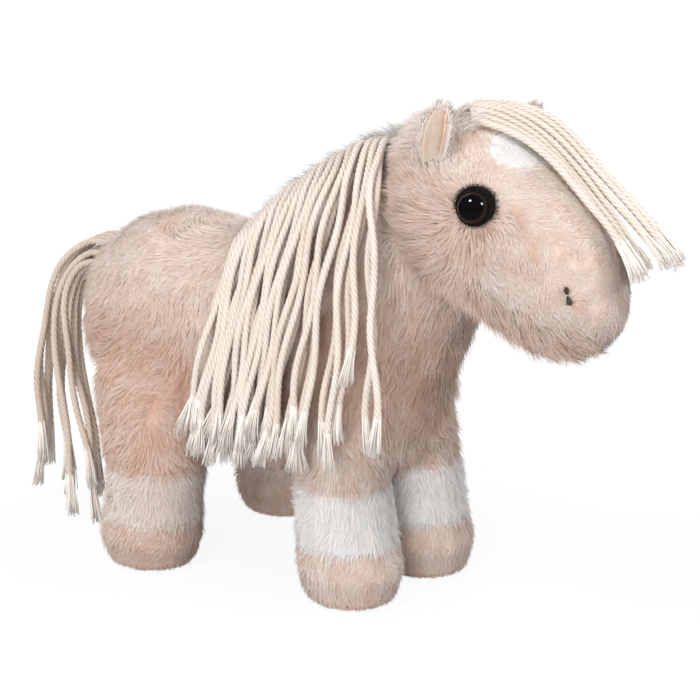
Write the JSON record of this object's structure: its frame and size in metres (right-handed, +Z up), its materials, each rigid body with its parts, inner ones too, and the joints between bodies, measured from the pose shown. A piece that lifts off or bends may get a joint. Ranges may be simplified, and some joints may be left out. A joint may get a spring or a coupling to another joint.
{
  "type": "plush horse",
  "caption": "Small stuffed toy horse in short-pile fabric on four sewn legs, with a twisted cord mane, forelock and tail, felt-lined ears and domed safety eyes.",
  "frame": {"origin": "on the floor, below the middle of the stuffed body from rump to nose and from side to side", "axes": "X points forwards to the nose, Y to the horse's left, Z up"},
  "size_m": [0.3436, 0.1444, 0.2413],
  "materials": {
    "beige_plush": "short-pile plush, beige with a pink tint",
    "white_plush": "short-pile plush, soft white",
    "filling": "fibre filling",
    "apricot_felt": "felt, apricot",
    "black_felt": "fuzzy felt, black",
    "eye_plastic": "very dark brown, polished",
    "washer_plastic": "plain moulded",
    "dark_thread": "embroidery thread, dark brown",
    "cream_cord": "twisted cotton cord, cream"
  },
  "bodies": {
    "root": {"torso_cover": "beige_plush", "torso_filling": "filling", "neck_cover": "beige_plush", "neck_filling": "filling", "head_cover": "beige_plush", "head_filling": "filling", "forehead_star": "white_plush", "left_front_leg_cover": "beige_plush", "left_front_leg_band": "white_plush", "left_front_hoof_cover": "beige_plush", "left_front_sole": "beige_plush", "left_front_leg_filling": "filling", "right_front_leg_cover": "beige_plush", "right_front_leg_band": "white_plush", "right_front_hoof_cover": "beige_plush", "right_front_sole": "beige_plush", "right_front_leg_filling": "filling", "left_hind_leg_cover": "beige_plush", "left_hind_leg_band": "white_plush", "left_hind_hoof_cover": "beige_plush", "left_hind_sole": "beige_plush", "left_hind_leg_filling": "filling", "right_hind_leg_cover": "beige_plush", "right_hind_leg_band": "white_plush", "right_hind_hoof_cover": "beige_plush", "right_hind_sole": "beige_plush", "right_hind_leg_filling": "filling", "left_ear": "beige_plush", "left_ear_lining": "apricot_felt", "left_eye": "eye_plastic", "left_eye_washer": "washer_plastic", "left_eye_backing": "black_felt", "left_nostril": "dark_thread", "right_ear": "beige_plush", "right_ear_lining": "apricot_felt", "right_eye": "eye_plastic", "right_eye_washer": "washer_plastic", "right_eye_backing": "black_felt", "right_nostril": "dark_thread", "mane_lock_1": "cream_cord", "mane_lock_2": "cream_cord", "mane_lock_3": "cream_cord", "mane_lock_4": "cream_cord", "mane_lock_5": "cream_cord", "mane_lock_6": "cream_cord", "mane_lock_7": "cream_cord", "mane_lock_8": "cream_cord", "mane_lock_9": "cream_cord", "forelock": "cream_cord", "tail": "cream_cord"}
  },
  "joints": []
}
